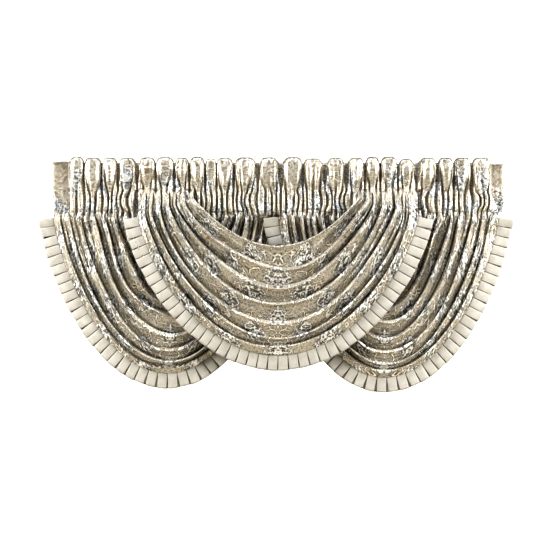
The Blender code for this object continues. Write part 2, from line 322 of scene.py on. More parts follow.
def satin(name):
    """Cream satin with a fine yarn line and the slight marks of pressing."""
    material, tree, shader = new_material(name)
    cloth = add_node(tree, "UVMap", output="UV", uv_map="cloth")
    marks = add_node(tree, "TexNoise", {"Vector": cloth, "Scale": MARKS_PER_METRE, "Detail": 3.0}, "Fac")
    pressed = add_node(
        tree, "MapRange", {"Value": marks, "From Min": 0.35, "From Max": 0.75},
        "Result", interpolation_type="SMOOTHSTEP",
    )
    colour = add_node(
        tree, "Mix", {0: pressed, 6: linear(CREAM), 7: linear(CREAM_SHADE)}, 2, data_type="RGBA"
    )
    yarn = add_node(
        tree, "TexWave", {"Vector": cloth, "Scale": WAVE_UNIT / YARN_PITCH, "Distortion": 2.0},
        "Fac", bands_direction="Y",
    )
    yarn = add_node(tree, "Math", {0: yarn, 1: YARN_RISE}, operation="MULTIPLY")
    height = add_node(tree, "Math", {0: marks, 1: MARKS_RISE, 2: yarn}, operation="MULTIPLY_ADD")
    relief = add_node(tree, "Bump", {"Height": height, "Strength": 0.35, "Distance": 0.001})
    tree.links.new(colour, shader.inputs["Base Color"])
    tree.links.new(relief, shader.inputs["Normal"])
    shader.inputs["Roughness"].default_value = 0.50
    shader.inputs["Sheen Weight"].default_value = 0.20
    shader.inputs["Sheen Roughness"].default_value = 0.40
    return material


cream_satin = satin("cream_polyester_satin")
print("satin nodes:", len(cream_satin.node_tree.nodes))

# %% [markdown]
# Each cloth starts as a grid of points, a row for each step down the cloth and a column for each
# step across. A grid holds folds that no outline could, and it carries the flat coordinates of
# the cloth for the weave. Its rows run from the lowest edge upwards, which turns the right side
# of the cloth to the front. Solidify then gives it the thickness of a real lined damask, and the
# reverse of the cloth gets its own finish.

# %% From a grid of points to a sheet
CLOTH = 0.0014


def cloth_sheet(name, points, flat, looks):
    """A sheet through points[row, column], whose flat[row, column] is its place in the flat cloth."""
    rows, columns = points.shape[:2]
    corner = np.arange(rows * columns).reshape(rows, columns)
    faces = np.stack([corner[:-1, :-1], corner[:-1, 1:], corner[1:, 1:], corner[1:, :-1]], axis=-1)
    faces = faces.reshape(-1, 4)
    mesh = bpy.data.meshes.new(name)
    mesh.from_pydata(points.reshape(-1, 3).tolist(), [], faces.tolist())
    layer = mesh.uv_layers.new(name="cloth")
    layer.data.foreach_set("uv", flat.reshape(-1, 2)[faces.reshape(-1)].astype(np.float32).reshape(-1))
    mesh.shade_smooth()
    for look in looks:
        mesh.materials.append(look)
    piece = bpy.data.objects.new(name, mesh)
    bpy.context.scene.collection.objects.link(piece)
    thicken = piece.modifiers.new("thickness of the cloth", "SOLIDIFY")
    thicken.thickness = CLOTH
    thicken.offset = 0.0
    thicken.material_offset = len(looks) - 1
    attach(piece, "root")
    print(name, "has", len(faces), "faces on", rows, "rows")
    return piece


def run_lengths(points, axis):
    """The distance along the grid's lines in one direction, from their start."""
    steps = np.linalg.norm(np.diff(points, axis=axis), axis=2)
    start = np.zeros_like(np.take(steps, [0], axis=axis))
    return np.concatenate([start, np.cumsum(steps, axis=axis)], axis=axis)


# %% [markdown]
# A swag is a piece of cloth hung from two arms, so each of its folds is a curve: steep at the
# arms and level at the bottom. Simulated cloth would find such curves by itself, but not the ones
# in the picture, which a seamstress pinned one by one. So each fold has a row in a table, with
# the measures that the hand would set: how far its two arms are from the middle, how low it hangs
# and how deep it is. The centre swag is sewn on over the yoke, up to the stitch line, and the side
# swags under the yoke's foot; the left one's inner arm is carried up behind the yoke. Each swag
# also says where its rim and its hem start to curve, how far forward its valleys lie, and how far
# its right arm is pushed back and drawn in behind its neighbour.

# %% The folds of the three swags
YOKE_FOOT = -0.2035
STITCH_LINE = -0.122
FRONT = -0.010

Fold = namedtuple("Fold", "left right drop depth")
Swag = namedtuple(
    "Swag", "name folds middle lean left_seam right_seam rim_start hem_start valley push tuck seed"
)
Seam = namedtuple("Seam", "height depth gathers opens")
under_yoke = Seam(height=YOKE_FOOT + 0.0045, depth=FRONT + 0.0012, gathers=0.75, opens=YOKE_FOOT)
before_yoke = Seam(height=STITCH_LINE + 0.026, depth=FRONT - 0.0080, gathers=0.75, opens=STITCH_LINE)
behind_yoke = Seam(height=STITCH_LINE - 0.004, depth=FRONT + 0.0015, gathers=0.62, opens=YOKE_FOOT + 0.002)

swags = (
    Swag(name="centre", folds=(
        Fold(left=0.311, right=0.295, drop=0.329, depth=0.030),
        Fold(left=0.346, right=0.325, drop=0.414, depth=0.032),
        Fold(left=0.375, right=0.352, drop=0.477, depth=0.030),
        Fold(left=0.405, right=0.387, drop=0.540, depth=0.034),
        Fold(left=0.435, right=0.432, drop=0.612, depth=0.034),
        Fold(left=0.463, right=0.459, drop=0.668, depth=0.026),
        Fold(left=0.490, right=0.484, drop=0.701, depth=0.020),
        Fold(left=0.514, right=0.514, drop=0.731, depth=0.018),
    ), middle=0.0, lean=0.0, left_seam=before_yoke, right_seam=before_yoke, rim_start=-0.155,
        hem_start=-0.222, valley=-0.030, push=0.0, tuck=0.0, seed=11),
    Swag(name="left", folds=(
        Fold(left=0.120, right=0.104, drop=0.400, depth=0.030),
        Fold(left=0.165, right=0.156, drop=0.470, depth=0.032),
        Fold(left=0.208, right=0.198, drop=0.536, depth=0.030),
        Fold(left=0.248, right=0.240, drop=0.599, depth=0.034),
        Fold(left=0.288, right=0.281, drop=0.660, depth=0.032),
        Fold(left=0.328, right=0.318, drop=0.714, depth=0.030),
        Fold(left=0.372, right=0.354, drop=0.757, depth=0.026),
        Fold(left=0.402, right=0.382, drop=0.783, depth=0.018),
        Fold(left=0.423, right=0.403, drop=0.800, depth=0.018),
    ), middle=-0.407, lean=0.016, left_seam=under_yoke, right_seam=behind_yoke, rim_start=-0.212,
        hem_start=-0.222, valley=0.012, push=0.034, tuck=0.016, seed=23),
    Swag(name="right", folds=(
        Fold(left=0.104, right=0.118, drop=0.430, depth=0.030),
        Fold(left=0.146, right=0.162, drop=0.498, depth=0.030),
        Fold(left=0.190, right=0.204, drop=0.558, depth=0.032),
        Fold(left=0.226, right=0.245, drop=0.614, depth=0.034),
        Fold(left=0.262, right=0.284, drop=0.670, depth=0.030),
        Fold(left=0.300, right=0.326, drop=0.722, depth=0.032),
        Fold(left=0.334, right=0.366, drop=0.764, depth=0.026),
        Fold(left=0.362, right=0.398, drop=0.792, depth=0.018),
        Fold(left=0.388, right=0.423, drop=0.815, depth=0.018),
    ), middle=0.392, lean=0.004, left_seam=under_yoke, right_seam=under_yoke, rim_start=-0.212,
        hem_start=-0.222, valley=0.012, push=0.0, tuck=0.0, seed=37),
)
print("folds:", {swag.name: len(swag.folds) for swag in swags})

# %% [markdown]
# Between two crests the cloth falls back behind the next fold and comes out again under it, so
# seen from the side it makes a row of hooks. Light from above catches each hook's edge and
# leaves the cloth under it in shade, which is what makes a drape look deep. One hook is drawn
# with a few steps and smoothed, and every fold repeats it at its own depth. A step says how far
# along it lies from one crest to the next, and how far forward, as a share of the fold's depth, at
# the bottom of the swag and in its arms. The crest starts with a small bead, a second and smaller
# pipe stands half way, rounder in the arms, and the dark hollow is just above the next crest.

# %% One fold from the side
Step = namedtuple("Step", "along bottom arm")
HOOK = (
    Step(0.00, 0.96, 0.95), Step(0.035, 1.05, 1.04), Step(0.08, 1.02, 1.02), Step(0.13, 0.82, 0.90),
    Step(0.24, 0.58, 0.66), Step(0.37, 0.43, 0.40), Step(0.45, 0.37, 0.52), Step(0.53, 0.31, 0.61),
    Step(0.63, 0.23, 0.52), Step(0.76, 0.10, 0.27), Step(0.89, -0.03, -0.04), Step(0.94, 0.06, 0.00),
    Step(0.915, 0.36, 0.30), Step(0.895, 0.64, 0.62), Step(0.935, 0.86, 0.88),
)
HEM_HOOK = (
    Step(0.00, 0.99, 0.98), Step(0.07, 1.01, 1.02), Step(0.30, 0.84, 0.80), Step(0.52, 0.62, 0.45),
    Step(0.74, 0.42, 0.35), Step(1.00, 0.35, 0.35),
)
FACING = (
    Step(0.40, 0.02, 0.02), Step(0.22, 0.10, 0.10), Step(0.02, 0.34, 0.34), Step(-0.06, 0.62, 0.62),
    Step(-0.07, 0.86, 0.86),
)
STEPS_BETWEEN = 2


def smooth_path(corners, between):
    """Points on a smooth curve through the corners, with that many steps from one to the next."""
    corners = np.asarray(corners, float)
    padded = np.vstack([2 * corners[0] - corners[1], corners, 2 * corners[-1] - corners[-2]])
    out = []
    for i in range(1, len(corners)):
        a, b, c, d = padded[i - 1:i + 3]
        for step in range(between):
            t = step / between
            out.append(0.5 * (2 * b + (c - a) * t + (2 * a - 5 * b + 4 * c - d) * t**2
                              + (3 * b - a - 3 * c + d) * t**3))
    out.append(corners[-1])
    return np.array(out)


def rows_of(swag):
    """Each row's fold number and how far forward it lies at the bottom and in the arms."""
    last = len(swag.folds) - 1
    corners = [tuple(step) for step in FACING]
    for number in range(last):
        hook = HEM_HOOK if number == last - 1 else HOOK
        corners += [(number + step.along, step.bottom, step.arm) for step in hook]
    return smooth_path(corners, STEPS_BETWEEN).T


print("rows of the centre swag:", rows_of(swags[0]).shape[1])

# %% [markdown]
# Under the stitches the heading breaks into small round gathers with sharp valleys, and the swags
# below take up the same gathers where they are sewn on. So the gathers are worked out once, from
# the widths of the heading's puffs, and both the heading and the swags ask for their shape.

# %% The puffs of the heading and the gathers under them
FIRST_PUFF = -0.7685
GATHER_PITCH = 0.021
GATHER_DEPTH = 0.0160
GATHER_WIDTH = 0.76  # the share of a gather that its round part takes
GATHER_POWER = 1.9
FOOT_WAVE = 0.0022
FOOT_DIP = 0.0012
Puff = namedtuple("Puff", "width gap fullness lift")
puffs = (
    Puff(0.052, 0.0030, 1.00, 0.000), Puff(0.061, 0.0060, 0.90, -0.003), Puff(0.052, 0.0100, 0.85, -0.003),
    Puff(0.058, 0.0155, 0.95, -0.003), Puff(0.058, 0.0030, 1.00, -0.002), Puff(0.065, 0.0060, 1.00, -0.001),
    Puff(0.049, 0.0060, 0.90, -0.003), Puff(0.052, 0.0055, 1.00, 0.000), Puff(0.038, 0.0025, 0.75, -0.006),
    Puff(0.059, 0.0090, 0.85, -0.004), Puff(0.0735, 0.0185, 1.00, -0.002), Puff(0.064, 0.0235, 0.95, -0.002),
    Puff(0.067, 0.0065, 1.00, -0.001), Puff(0.067, 0.0215, 0.80, -0.006), Puff(0.0585, 0.0185, 1.00, -0.003),
    Puff(0.055, 0.0090, 0.95, -0.003), Puff(0.049, 0.0065, 1.00, 0.000), Puff(0.058, 0.0090, 1.00, 0.000),
    Puff(0.052, 0.0250, 0.80, -0.008), Puff(0.058, 0.0090, 1.00, -0.003), Puff(0.055, 0.0035, 0.90, -0.003),
    Puff(0.061, 0.0065, 0.90, -0.003), Puff(0.067, 0.0000, 1.00, -0.003),
)


def gather_edges():
    """The valleys between the gathers, one list for each puff, from its left gap to its right one."""
    source = np.random.default_rng(71)
    left, before, edges = FIRST_PUFF, 0.0, []
    for puff in puffs:
        low, high = left - before / 2, left + puff.width + puff.gap / 2
        count = max(2, round((high - low) / GATHER_PITCH + source.uniform(-0.5, 0.5)))
        cuts = np.concatenate([[0.0], np.cumsum(source.uniform(0.6, 1.4, count))])
        edges.append(low + (high - low) * cuts / cuts[-1])
        left, before = left + puff.width + puff.gap, puff.gap
    return edges


edges_of_puffs = gather_edges()
all_edges = np.unique(np.concatenate(edges_of_puffs).round(6))


def round_top(share):
    """A gather's section: round on top, steep at both sides."""
    return np.sqrt((1.0 - (np.abs(2.0 * share - 1.0) / GATHER_WIDTH) ** GATHER_POWER).clip(0.0))


def gather_shape(x):
    """How far forward the gathers stand at x, from 0 in a valley to 1 on a crest."""
    index = np.clip(np.searchsorted(all_edges, x) - 1, 0, len(all_edges) - 2)
    low, high = all_edges[index], all_edges[index + 1]
    inside = (x > all_edges[0]) & (x < all_edges[-1])
    return np.where(inside, round_top(((x - low) / (high - low)).clip(0, 1)), 0.0)


def in_puff(x):
    """How far inside its puff x lies, from 0 between two puffs to 1 in the middle of one."""
    bounds = np.array([edges[0] for edges in edges_of_puffs] + [edges_of_puffs[-1][-1]])
    index = np.clip(np.searchsorted(bounds, x) - 1, 0, len(bounds) - 2)
    share = ((x - bounds[index]) / (bounds[index + 1] - bounds[index])).clip(0, 1)
    return 1.0 - (2.0 * share - 1.0) ** 2


def foot_height(x):
    """The height of the yoke's foot at x, which the sewing leaves a little uneven."""
    return YOKE_FOOT + FOOT_WAVE * uneven_line(x, 14.0, 91) - FOOT_DIP * gather_shape(x)


print("gathers:", len(all_edges) - 1, "over", len(puffs), "puffs")

# %% [markdown]
# Real folds are uneven: they wander up and down, run shallow and deep, break into drag lines near
# the arms, where the gathers pull, and crumple finely everywhere. These four kinds of unevenness
# are added to the formula, each growing weaker towards the rim, the hem and the seams, where the
# cloth is held. Beside a seam the folds give way to the gathers of the stitches. The centre swag's
# arms are tucked in at the stitch line, higher inside a puff than between two, so that no straight
# line shows where the cloths meet.

# %% The draped panels
ARM_COLUMNS = 22
CURVE_COLUMNS = 106
FADE = 0.085
PUSH_FADE = 0.16
RIM_POWER = 2.0
HEM_POWER = 1.45
ARM_DEPTH = 0.85
SEAM_DEPTH = 0.60
HANDOVER = 0.032
ARM_RIDGE = 0.0060
BOTTOM_RIDGE = 0.0012
TUCKED_IN = 0.011
HELD_ROWS = 0.8
HELD_ROUGH = 0.3
WANDER = 0.13  # as a share of the way from one fold to the next
DEPTH_CHANGE = 0.22  # as a share of a fold's depth
BOTTOM_DRAG = 0.0022
ARM_DRAG = 0.0030
CRUMPLE = 0.0012
FINE_CRUMPLE = 0.0011
Tuck = namedtuple("Tuck", "below over")
TUCKS = (Tuck(below=0.012, over=0.020), Tuck(below=-0.005, over=0.012))
TUCK_BETWEEN = 0.010
TUCK_IN_PUFF = 0.024
TUCK_WAVE = 0.005


def even_angles(swag, count):
    """Angles over the half turn of the hem that divide its length evenly."""
    fine = np.linspace(0.0, np.pi / 2, 600)
    hem = swag.folds[-1]
    x = hem.left * np.sin(fine)
    z = (swag.hem_start + hem.drop) * np.cos(fine).clip(0) ** HEM_POWER
    marks = np.concatenate([[0.0], np.cumsum(np.hypot(np.diff(x), np.diff(z)))])
    half = np.interp(np.linspace(0.0, marks[-1], count // 2 + 1), marks, fine)
    return np.concatenate([-half[:0:-1], half])


def straight_start(angle):
    """1 where the cloth hangs straight, falling to 0 a little way into the curve."""
    return ease(1.0 - np.cos(angle) / 0.35)


def small_creases(swag, side, number, opened):
    """Fine crumples, and the drag lines and ridges that grow stronger towards the arms."""
    drag = BOTTOM_DRAG + ARM_DRAG * np.abs(side) ** 3
    drag = drag * uneven(side * 2.2, number * 2.6, swag.seed + 2) * opened
    crumple = CRUMPLE * uneven(side * 7.0, number * 1.4, swag.seed + 3)
    crumple = crumple + FINE_CRUMPLE * uneven(side * 17.0, number * 4.5, swag.seed + 4)
    ridges = 0.5 - np.abs(uneven(side * 1.2, number * 2.8, swag.seed + 6)).clip(0.0, 1.0)
    crumple = crumple + mix(BOTTOM_RIDGE, ARM_RIDGE, np.abs(side) ** 2) * ridges * opened
    return drag + crumple


def beside_seam(x, z, outward, behind, seam):
    """How far forward the cloth lies beside its seam, with the gathers of the stitches in it."""
    puffed = (behind > 0) * ease((YOKE_FOOT + 0.001 - z) / 0.009)
    lowered = (behind > 0) * outward**3 * ease((YOKE_FOOT - 0.007 - z) / 0.011)
    share = mix(seam["gathers"], under_yoke.gathers, puffed) * (1.0 - lowered)
    sewn = mix(seam["depth"], under_yoke.depth, puffed)
    sewn = sewn - GATHER_DEPTH * share * gather_shape(x) + behind * (0.09 * outward**3 + 0.35 * lowered)
    ragged = TUCK_BETWEEN - TUCK_IN_PUFF * in_puff(x) + TUCK_WAVE * uneven_line(x, 19.0, 92)
    tucked = sum(ease((z - STITCH_LINE + tuck.below + ragged) / tuck.over) for tuck in TUCKS)
    return sewn + TUCKED_IN * tucked * (seam["depth"] < FRONT)


def drape(swag, angle, straight, number, bottom, arm, rough=1.0):
    """Points of the swag at signed angles, with straight the share of the way up to the seam."""
    folds = np.array(swag.folds)
    last = len(folds) - 1
    number, angle = np.broadcast_arrays(number, angle)
    side = angle / (np.pi / 2)
    right = angle > 0
    seam = {
        name: np.where(right, getattr(swag.right_seam, name), getattr(swag.left_seam, name))
        for name in Seam._fields
    }
    held = ease(np.minimum(number, last - number).clip(0) / HELD_ROWS) * (1.0 - straight)
    wander = WANDER * uneven(side * 1.6, number * 0.45, swag.seed) * held * rough
    shifted = (number + wander).clip(-0.05, last)
    outward = (shifted / last).clip(0, 1)
    left_reach, right_reach, drop, depth = (
        np.interp(shifted, np.arange(last + 1), folds[:, i]) for i in range(4)
    )
    reach = np.where(right, right_reach + swag.tuck * outward**6 * straight_start(angle), left_reach)
    x = swag.middle + swag.lean * (1.0 - outward) + reach * np.sin(angle)

    seam_height = seam["height"] + foot_height(x) - YOKE_FOOT
    start = mix(swag.rim_start, swag.hem_start, outward)
    power = mix(HEM_POWER, RIM_POWER, (1.0 - outward) ** 3)
    cosine = np.cos(angle).clip(0)
    z = mix(start - (start + drop) * cosine**power, seam_height, straight)

    below = seam["opens"] - z
    opened = ease(below / FADE)
    forward = mix(arm, bottom, ease(cosine / 0.9))
    depth = depth * mix(ARM_DEPTH, 1.0, cosine) * mix(SEAM_DEPTH, 1.0, opened)
    depth = depth * (1.0 + DEPTH_CHANGE * rough * uneven(side * 1.3, number * 0.6, swag.seed + 1) * held)
    creases = small_creases(swag, side, number, opened) * rough * mix(HELD_ROUGH, 1.0, held)
    y = mix(seam["depth"], swag.valley, opened) - forward * depth - creases
    behind = swag.push * side.clip(0, 1)
    y = y + behind * outward**1.5 * ease((seam_height - z) / PUSH_FADE)
    y = mix(beside_seam(x, z, outward, behind, seam), y, ease(below / HANDOVER))
    return np.stack(np.broadcast_arrays(x, y, z), axis=-1)


def swag_columns(swag):
    """Each column's signed angle and its share of the straight way up to the seam."""
    curve = even_angles(swag, CURVE_COLUMNS)
    rise = np.linspace(0.0, 1.0, ARM_COLUMNS + 1)[1:]
    rise = mix(rise, ease(rise), 0.55)
    angle = np.concatenate([np.full(ARM_COLUMNS, -np.pi / 2), curve, np.full(ARM_COLUMNS, np.pi / 2)])
    straight = np.concatenate([rise[::-1], np.zeros(len(curve)), rise])
    return angle, straight


def flat_places(points):
    """Where the points lie in the flat cloth: across from the middle column, and down along it."""
    middle = points.shape[1] // 2
    across = run_lengths(points, 1)
    across = across - across[:, middle:middle + 1]
    down = run_lengths(points, 0)[:, middle:middle + 1]
    return np.stack(np.broadcast_arrays(across, down), axis=-1)


panels = {}
for swag in swags:
    number, bottom, arm = (row[:, None] for row in rows_of(swag))
    angle, straight = swag_columns(swag)
    points = drape(swag, angle[None, :], straight[None, :], number, bottom, arm)
    flat = flat_places(points)
    face = damask_face if swag.name == "centre" else dense_face
    panel = cloth_sheet(f"panel_{swag.name}", points[::-1], flat[::-1], [face, damask_reverse])
    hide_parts(f"swag_{swag.name}")
    panels[swag.name] = (panel, points)
    print(swag.name, "hangs to", round(float(points[..., 2].min()), 3))

# %% [markdown]
# Each band is a strip of satin folded into box pleats, a flat tile with a folded-under edge at
# each side, and sewn behind the hem. Round the outside of the curve the tiles part, and the
# cloth folded between them shows as a dark wedge. The strip is one sheet that runs to and fro,
# so each wedge is real depth and not a painted line.

# %% The pleated bands
BAND = 0.057
PLEAT_COUNT = 44
BAND_LAP = 0.003
BAND_BEHIND = 0.0027
BAND_ROWS = 9
Corner = namedtuple("Corner", "along sunk")
PLEAT = (
    Corner(-0.22, 0.90), Corner(-0.40, 0.70), Corner(-0.468, 0.30), Corner(-0.462, 0.02),
    Corner(-0.40, -0.06), Corner(-0.15, -0.18), Corner(0.15, -0.18), Corner(0.40, -0.06),
    Corner(0.462, 0.02), Corner(0.468, 0.30), Corner(0.40, 0.70), Corner(0.22, 0.90),
)
SUNK_INNER = 0.0024
SUNK_OUTER = 0.0100
PLEAT_LEAST = (-0.045, -0.0020, -0.0016)  # a pleat's turn, its lift and its extra length
PLEAT_MOST = (0.045, 0.0026, 0.0016)


def hem_curve(swag):
    """The hem as evenly spaced points, with each one's distance along it."""
    last = len(swag.folds) - 1
    angle = even_angles(swag, 400)
    edge = HEM_HOOK[-1]
    line = drape(swag, angle, 0.0, np.full_like(angle, last), edge.bottom, edge.arm, rough=0.0)
    steps = np.linalg.norm(np.diff(line, axis=0), axis=1)
    marks = np.concatenate([[0.0], np.cumsum(steps)])
    return line, marks


def band_points(swag):
    """The points of the pleated band, a row for each step outwards from the hem."""
    line, marks = hem_curve(swag)
    pitch = marks[-1] / PLEAT_COUNT
    source = np.random.default_rng(swag.seed + 5)

    def at(distance):
        return np.array([np.interp(distance, marks, line[:, i]) for i in range(3)])

    rows = []
    outward = np.linspace(-BAND_LAP, BAND, BAND_ROWS)
    for pleat in range(PLEAT_COUNT):
        middle = (pleat + 0.5) * pitch
        along = at(middle + pitch / 2) - at(middle - pitch / 2)
        along = along / math.hypot(along[0], along[2])
        away = np.array([along[2], 0.0, -along[0]])
        turn, lift, length = source.uniform(PLEAT_LEAST, PLEAT_MOST)
        for corner in PLEAT:
            share = (outward / BAND).clip(0, 1)
            sunk = corner.sunk * mix(SUNK_INNER, SUNK_OUTER, share**1.3)
            base = at(middle + corner.along * pitch)
            straight_base = at(middle) + along * corner.along * pitch
            spine = mix(base[None, :], straight_base[None, :], ease(share * 2.5)[:, None])
            lean = turn * outward
            point = spine + away * (outward + length * share)[:, None]
            point = point + along * lean[:, None] * share[:, None]
            point[:, 1] = base[1] + BAND_BEHIND + sunk + lift * share**2
            rows.append(point)
    return np.array(rows).transpose(1, 0, 2), pitch


bands = {}
for swag in swags:
    points, pitch = band_points(swag)
    across = run_lengths(points, 1)[BAND_ROWS // 2][None, :]
    out = np.linspace(0.0, BAND + BAND_LAP, BAND_ROWS)[:, None]
    flat = np.stack(np.broadcast_arrays(across, out), axis=-1)
    band = cloth_sheet(f"band_{swag.name}", points[::-1], flat[::-1], [cream_satin])
    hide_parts(f"trim_{swag.name}")
    bands[swag.name] = band
    print(swag.name, "pleats are", round(pitch * 1000, 1), "mm apart")

# %% [markdown]
# The heading is one strip of the damask. It goes up the front, over the rod and down the back,
# and a row of stitches closes it into a pocket. Pushed together on its rod it puffs out between
# creases, and under the stitches it breaks into small gathers. Each puff has its own width and
# fullness, as a hand would leave them, and the gathers are narrow grooves that drift sideways on
# their way down. Flat tabs end the strip at both sides. Where the centre swag's arms cover the
# yoke, its gathers stay low, so that they don't come through.

# %% The gathered heading
HALF_WIDTH = 0.834
BACK = 0.0125
BULGE = 0.0285
CREASE_DIP = 0.018
WRAP = math.radians(24)
BASE = 0.88
FLOOR_SHARE = 0.06
FLOOR_LIFT = -0.004
PUFF_REACH = 0.975
ROUND_ACROSS = 0.85
ROUND_FORWARD = 0.75
GATHER_COLUMNS = 9
TAB_COLUMNS = 8
TAB_GAP = 0.003
LEFT_TAB_LIFT = -0.016
RIGHT_TAB_LIFT = -0.026
Column = namedtuple("Column", "puff_x puff_forward crease gather_x gather_forward lift tab edge")


def heading_columns():
    """The heading's columns from left to right, each with its place in a puff and in a gather."""
    columns = []
    for x in np.linspace(-HALF_WIDTH, edges_of_puffs[0][0] - TAB_GAP, TAB_COLUMNS):
        columns.append(Column(x, 0.0, 0.0, x, 0.0, LEFT_TAB_LIFT, -1.0, 0.0))
    left = FIRST_PUFF
    for puff, edges in zip(puffs, edges_of_puffs):
        middle, half = left + puff.width / 2, puff.width / 2
        low, high = edges[0], edges[-1]
        count = len(edges) - 1
        for k in range(count):
            for j in range(GATHER_COLUMNS):
                share = j / GATHER_COLUMNS
                q = (k + share) / count
                gather_x = mix(edges[k], edges[k + 1], share)
                wrap = (q - FLOOR_SHARE) / (1 - 2 * FLOOR_SHARE)
                angle = (2 * min(max(wrap, 0.0), 1.0) - 1) * (math.pi / 2 + WRAP)
                reach, forward = math.sin(angle), math.cos(angle)
                reach = math.copysign(abs(reach) ** ROUND_ACROSS, reach) * PUFF_REACH
                under = math.sin(WRAP) ** ROUND_FORWARD
                forward = (math.copysign(abs(forward) ** ROUND_FORWARD, forward) + under) / (1 + under)
                x = middle + half * reach
                if wrap < 0:
                    x = mix(low, middle - half * BASE, q / FLOOR_SHARE)
                if wrap > 1:
                    x = mix(high, middle + half * BASE, (1 - q) / FLOOR_SHARE)
                crease = 1.0 if wrap < 0 or wrap > 1 else abs(reach) ** 5
                floor_lift = puff.lift if 0 <= wrap <= 1 else min(puff.lift, FLOOR_LIFT)
                columns.append(Column(x, max(forward, 0.0) * puff.fullness, crease, gather_x,
                                      float(round_top(share)), floor_lift, 0.0, (2 * q - 1) ** 2))
        left += puff.width + puff.gap
    for x in np.linspace(edges_of_puffs[-1][-1] + TAB_GAP, HALF_WIDTH, TAB_COLUMNS):
        columns.append(Column(x, 0.0, 0.0, x, 0.0, RIGHT_TAB_LIFT, 1.0, 0.0))
    return np.array(columns)


Row = namedtuple("Row", "height depth bulge dip gather stand")
FRONT_ROWS = (
    Row(YOKE_FOOT, FRONT - 0.0010, 0.00, 0.0, 1.00, 0.75),
    Row(-0.192, FRONT - 0.0010, 0.00, 0.0, 1.00, 1.00),
    Row(-0.168, FRONT - 0.0010, 0.00, 0.0, 1.00, 1.05),
    Row(-0.144, FRONT - 0.0010, 0.02, 0.0, 1.00, 1.00),
    Row(-0.130, FRONT, 0.10, 0.0, 0.98, 0.85),
    Row(STITCH_LINE, FRONT, 0.18, 0.0, 0.88, 0.78),
    Row(-0.112, FRONT, 0.33, 0.0, 0.66, 0.76),
    Row(-0.098, FRONT, 0.55, 0.0, 0.40, 0.70),
    Row(-0.082, FRONT, 0.80, 0.0, 0.18, 0.68),
    Row(-0.060, FRONT, 0.96, 0.0, 0.04, 0.54),
    Row(-0.038, FRONT, 1.00, 0.15, 0.00, 0.34),
    Row(-0.018, FRONT, 0.96, 0.60, 0.00, 0.0),
    Row(-0.006, FRONT + 0.0010, 0.82, 0.95, 0.00, 0.0),
    Row(-0.001, FRONT + 0.0050, 0.48, 1.0, 0.00, 0.0),
)
BACK_ROWS = (
    Row(-0.0005, 0.0030, 0.15, 1.0, 0.30, 0.0),
    Row(-0.009, BACK - 0.0015, 0.0, 0.8, 0.80, 0.1),
    Row(-0.032, BACK, 0.0, 0.3, 1.0, 0.25),
    Row(-0.070, BACK, 0.0, 0.0, 1.0, 0.30),
    Row(-0.106, BACK, 0.0, 0.0, 1.0, 0.25),
    Row(-0.116, BACK - 0.008, 0.0, 0.0, 1.0, 0.1),
    Row(-0.1195, FRONT + 0.0040, 0.0, 0.0, 1.0, 0.0),
)
FRONT_STEPS = 4
BACK_STEPS = 2
ARM_MIDDLE = 0.416
ARM_HALF = 0.100
SHIFT = 0.012  # how far a gather reaches up above or stays below the next ones
FINE_SHIFT = 0.006
ARM_SHIFT = 0.010
EDGE_SHIFT = 0.034
DRIFT = 0.0075
TAB_FOLD = 0.0035
TAB_SQUEEZE = 0.03
WRINKLE = 0.0016
FINE_WRINKLE = 0.0011
CUT_FROM = 0.37  # where in the damask's repeat the strip starts


